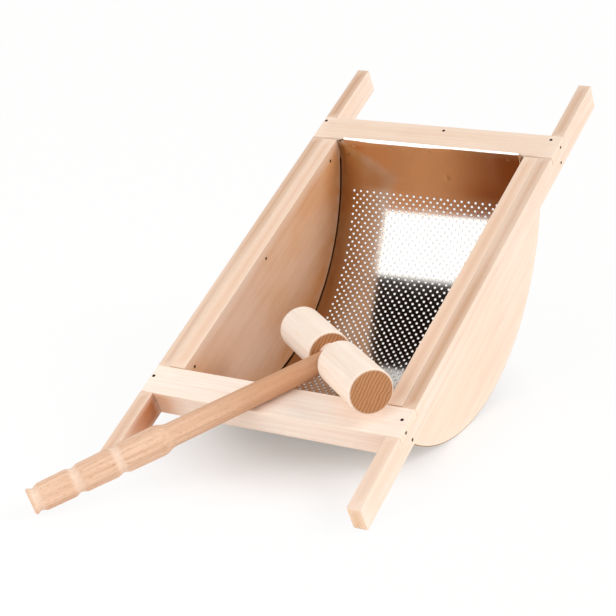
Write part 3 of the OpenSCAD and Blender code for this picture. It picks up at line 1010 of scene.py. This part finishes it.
headPoints = nodePoints("pestle_head")
headAxis = axisOf(headPoints)
headAxis *= 1 if headAxis.x > 0 else -1
headMid = middle([Vector(c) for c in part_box("pestle_head")])
headTurned = [(offAxis(p, headMid, headAxis), (p - headMid).dot(headAxis)) for p in headPoints]
headHalf = max(at for _, at in headTurned)
headRadius = max(r for r, _ in headTurned)
rollerFrom, grooveTo = 0.85, 0.9   # shares of the radius and of the groove, to tell roller from groove
grooveHalf = min(abs(at) for r, at in headTurned if r > headRadius * rollerFrom)
neckRadius = max(r for r, at in headTurned if abs(at) < grooveHalf * grooveTo)
headShape = dict(turnedLook, sides=96, wander=0.006, seed=(0.02, 1.7, 0.4), round=2.0 * mm, wall=3 * mm,
                 bend=range(0, 91, 15), lengths=14, endRings=(0.6, 0.2, 0.0))


def headProfile(shape):
    r, e, n = headRadius, shape["round"], shape["lengths"]
    bend = [radians(a) for a in shape["bend"]]
    half = [(neckRadius, 0.0, 0.0), (neckRadius, grooveHalf, 0.0), (r - e - shape["wall"], grooveHalf, 0.0)]
    half += [(r - e + e * sin(a), grooveHalf + e - e * cos(a), sin(2 * a)) for a in bend]
    half += [(r, grooveHalf + e + (headHalf - grooveHalf - 2 * e) * i / n, 0.0) for i in range(1, n)]
    half += [(r - e + e * cos(a), headHalf - e + e * sin(a), sin(2 * a)) for a in bend]
    half += [(r * share, headHalf, 0.0) for share in shape["endRings"]]
    return [(a, -b, c) for a, b, c in half[::-1]] + half[1:]


makeTurned("pestleHead", "pestle_head", headMid, headAxis, headProfile(headShape), headShape,
           woods["head"])

handlePoints = nodePoints("pestle_handle")
handleAxis = axisOf(handlePoints)
handleAxis *= 1 if handleAxis.y < 0 else -1


def lineThrough(points, axis):
    # the middle of the points, seen along the axis
    u = axis.orthogonal().normalized()
    found = Vector()
    for way in (u, axis.cross(u)):
        spread = [p.dot(way) for p in points]
        found += way * (min(spread) + max(spread)) / 2
    return found


handleFrom = lineThrough(handlePoints, handleAxis) + handleAxis * headMid.dot(handleAxis)
handleShape = dict(turnedLook, sides=72, wander=0.004, seed=(0.4, 0.9, 0.1), start=3 * mm, step=6 * mm,
                   tenonIn=1 * mm, grip=115 * mm, bulge=9 * mm, freshMost=0.75, freshDepth=2.2 * mm,
                   endKept=8 * mm, fill=0.2, endRub=0.6)


def handleProfile(shape):
    # the CAD outline, read station by station, with the taper filled in; the grip's rings are cut
    # a little shallower and show fresh wood
    radius = {}
    for p in handlePoints:
        at = round((p - handleFrom).dot(handleAxis), 5)
        if at > neckRadius - shape["tenonIn"]:
            radius[at] = max(radius.get(at, 0.0), offAxis(p, handleFrom, handleAxis))
    stations = sorted(radius)
    last = stations[-1]
    grip = [k for k in stations if k > last - shape["grip"]]
    depth = {k: max(radius[j] for j in grip if abs(j - k) < shape["bulge"]) - radius[k] for k in grip}
    fresh = {k: min(shape["freshMost"], depth.get(k, 0.0) / shape["freshDepth"]) for k in stations}
    for k in grip:
        if k < last - shape["endKept"]:
            radius[k] += depth[k] * shape["fill"]
    profile = [(0.0, shape["start"], 0.0), (radius[stations[0]], shape["start"], 0.0)]
    for a, b in zip(stations, stations[1:]):
        count = max(1, round((b - a) / shape["step"]))
        for t in [i / count for i in range(count)]:
            profile.append([low + (high - low) * t for low, high in
                            ((radius[a], radius[b]), (a, b), (fresh[a], fresh[b]))])
    return profile + [(radius[last], last, shape["endRub"]), (radius[last] / 2, last, 0.0), (0.0, last, 0.0)]


makeTurned("pestleHandle", "pestle_handle", handleFrom, handleAxis, handleProfile(handleShape), handleShape,
           woods["handle"])
print("pestle made")


# camera, fitted to the photo
shot = {"place": (0.7356, -1.2903, 0.6430), "heading": -30.97, "down": 19.93, "roll": 3.2,
        "focalPixels": 1722.6, "imagePixels": 616, "sensor": 36.0, "farthest": 100}


def setCamera(shot):
    h, d, k = (radians(shot[x]) for x in ("heading", "down", "roll"))
    ahead = Vector((sin(h) * cos(d), cos(h) * cos(d), -sin(d)))
    level = ahead.cross(Vector((0, 0, 1))).normalized()
    right = level * cos(k) + ahead.cross(level) * sin(k)
    up = right.cross(ahead)
    data = bpy.data.cameras.new("photoCamera")
    data.sensor_width = shot["sensor"]
    data.lens = shot["focalPixels"] / shot["imagePixels"] * shot["sensor"]
    data.clip_end = shot["farthest"]
    cam = bpy.data.objects.new("photoCamera", data)
    turn = Matrix((right, up, -ahead)).transposed().to_4x4()
    cam.matrix_world = Matrix.Translation(shot["place"]) @ turn
    scene.collection.objects.link(cam)
    scene.camera = cam


setCamera(shot)


# studio: white floor, even white surround, a soft sun from the right, a softbox in front on the left,
# and three cards that only metal sees
studio = {
    "floor": {"colour": (0.97, 0.93, 0.9, 1), "rough": 0.8, "half": 20, "under": 0.1 * mm},
    "shade": {"middle": (0.0, -0.02), "reach": (0.2, 0.27), "from": 0.25, "to": 0.95, "white": (0.2, 0.92)},
    "surround": 0.66,
    "key": {"from": (112, 38), "power": 1.4, "soft": 30},
    "box": {"from": (-20, 27), "distance": 1.6, "size": (1.25, 1.2), "radiance": 1.75},
    "ceiling": {"height": 1.5, "low": (-1.6, -1.08), "high": (1.0, 0.58), "colour": paint(30, 22, 18)},
    "frontCard": {"near": 0.32, "far": 0.62, "bearing": -154, "width": 1.3, "low": mm, "high": 0.27,
                  "left": paint(228, 156, 103), "right": paint(146, 81, 39), "fade": (-0.082, 0.03)},
    "endCard": {"off": 3 * mm, "top": -2 * mm, "low": -44 * mm, "wide": 98 * mm,
                "left": paint(216, 148, 98), "right": paint(150, 88, 48), "fade": (-0.1, 0.1)},
}


def plainPlane(name, points, material):
    mesh = bpy.data.meshes.new(name)
    mesh.from_pydata(points, [], [range(len(points))])
    mesh.materials.append(material)
    made = bpy.data.objects.new(name, mesh)
    scene.collection.objects.link(made)
    return made


def metalCard(name, points, material):
    card = plainPlane(name, points, material)
    for kind in ("camera", "diffuse", "shadow", "transmission", "volume_scatter"):
        setattr(card, "visible_" + kind, False)


def cardShader(name, colour, to=None, across=None, fade=None):
    # a card of one colour, or one that fades to a second along a direction
    s = newShader(name)
    s.tree.nodes.remove(s.body)
    if to:
        at = s.vector("DOT_PRODUCT", s.add("ShaderNodeTexCoord")["Object"], across)
        colour = s.mix(s.span(at, *fade), colour, to)
    s.surface(s.add("ShaderNodeEmission", None, Color=colour)[0])
    return s.owner


def setFloor(look, shade):
    # the object's own shade stays near it, and the rest of the floor goes to white
    s = newShader("whiteFloor")
    s.coat(Base_Color=look["colour"], Roughness=look["rough"], Specular_IOR_Level=0.0)
    at = s.vector("SUBTRACT", s.add("ShaderNodeTexCoord")["Object"], (*shade["middle"], 0))
    away = s.vector("LENGTH", s.vector("DIVIDE", at, (*shade["reach"], 1)))
    share = s.times(s.seenDirectly(), s.span(away, shade["from"], shade["to"], *shade["white"]))
    glow = s.add("ShaderNodeEmission")
    s.surface(s.add("ShaderNodeMixShader", None, i0=share, i1=s.body.outputs[0], i2=glow[0])[0])
    low, half = cadBox[0].z - look["under"], look["half"]
    corners = ((-half, -half), (half, -half), (half, half), (-half, half))
    plainPlane("floor", [(x, y, low) for x, y in corners], s.owner)


def setCards(studio):
    c = studio["ceiling"]
    (x0, y0), (x1, y1), h = c["low"], c["high"], c["height"]
    metalCard("ceilingCard", [(x0, y0, h), (x0, y1, h), (x1, y1, h), (x1, y0, h)],
              cardShader("darkCeiling", c["colour"]))
    c = studio["frontCard"]
    b = radians(c["bearing"])
    out, side = Vector((sin(b), cos(b), 0)), Vector((-cos(b), sin(b), 0))
    low, high = out * c["near"] + Vector((0, 0, c["low"])), out * c["far"] + Vector((0, 0, c["high"]))
    half = side * c["width"] / 2
    metalCard("frontCard", [low - half, low + half, high + half, high - half],
              cardShader("warmCard", c["left"], c["right"], side, c["fade"]))
    # what the sheet's back end mirrors of its front end is kept warm
    c = studio["endCard"]
    y, x = sheetLo.y + c["off"], c["wide"]
    corners = ((-x, c["low"]), (x, c["low"]), (x, c["top"]), (-x, c["top"]))
    metalCard("endCard", [fromBench((x, y, z)) for x, z in corners],
              cardShader("endWarmCard", c["left"], c["right"], (1, 0, 0), c["fade"]))


def aim(thing, toward, place=(0, 0, 0)):
    thing.rotation_mode = "QUATERNION"
    thing.rotation_quaternion = toward.to_track_quat("Z", "Y")
    thing.location = place
    scene.collection.objects.link(thing)


def fromAngles(turn, height):
    a, e = radians(turn), radians(height)
    return Vector((sin(a) * cos(e), -cos(a) * cos(e), sin(e)))


def setLamps(key, box):
    sun = bpy.data.lights.new("keySun", "SUN")
    sun.energy, sun.angle = key["power"], radians(key["soft"])
    aim(bpy.data.objects.new("keySun", sun), fromAngles(*key["from"]))
    soft = bpy.data.lights.new("frontBox", "AREA")
    soft.shape, (soft.size, soft.size_y) = "RECTANGLE", box["size"]
    soft.energy = box["radiance"] * pi * soft.size * soft.size_y
    toward = fromAngles(*box["from"])
    aim(bpy.data.objects.new("frontBox", soft), toward, toward * box["distance"])


def setSurround(strength):
    # full white where it is seen, less where it lights
    scene.world = bpy.data.worlds.new("whiteSurround")
    s = Shader(scene.world)
    back = s.tree.nodes["Background"].inputs
    s.feed(back["Color"], (1, 1, 1, 1))
    s.feed(back["Strength"], s.add("ShaderNodeMapRange", None, i0=s.seenDirectly(), i3=strength, i4=1.0)[0])


setFloor(studio["floor"], studio["shade"])
setCards(studio)
setLamps(studio["key"], studio["box"])
setSurround(studio["surround"])
print("studio set")
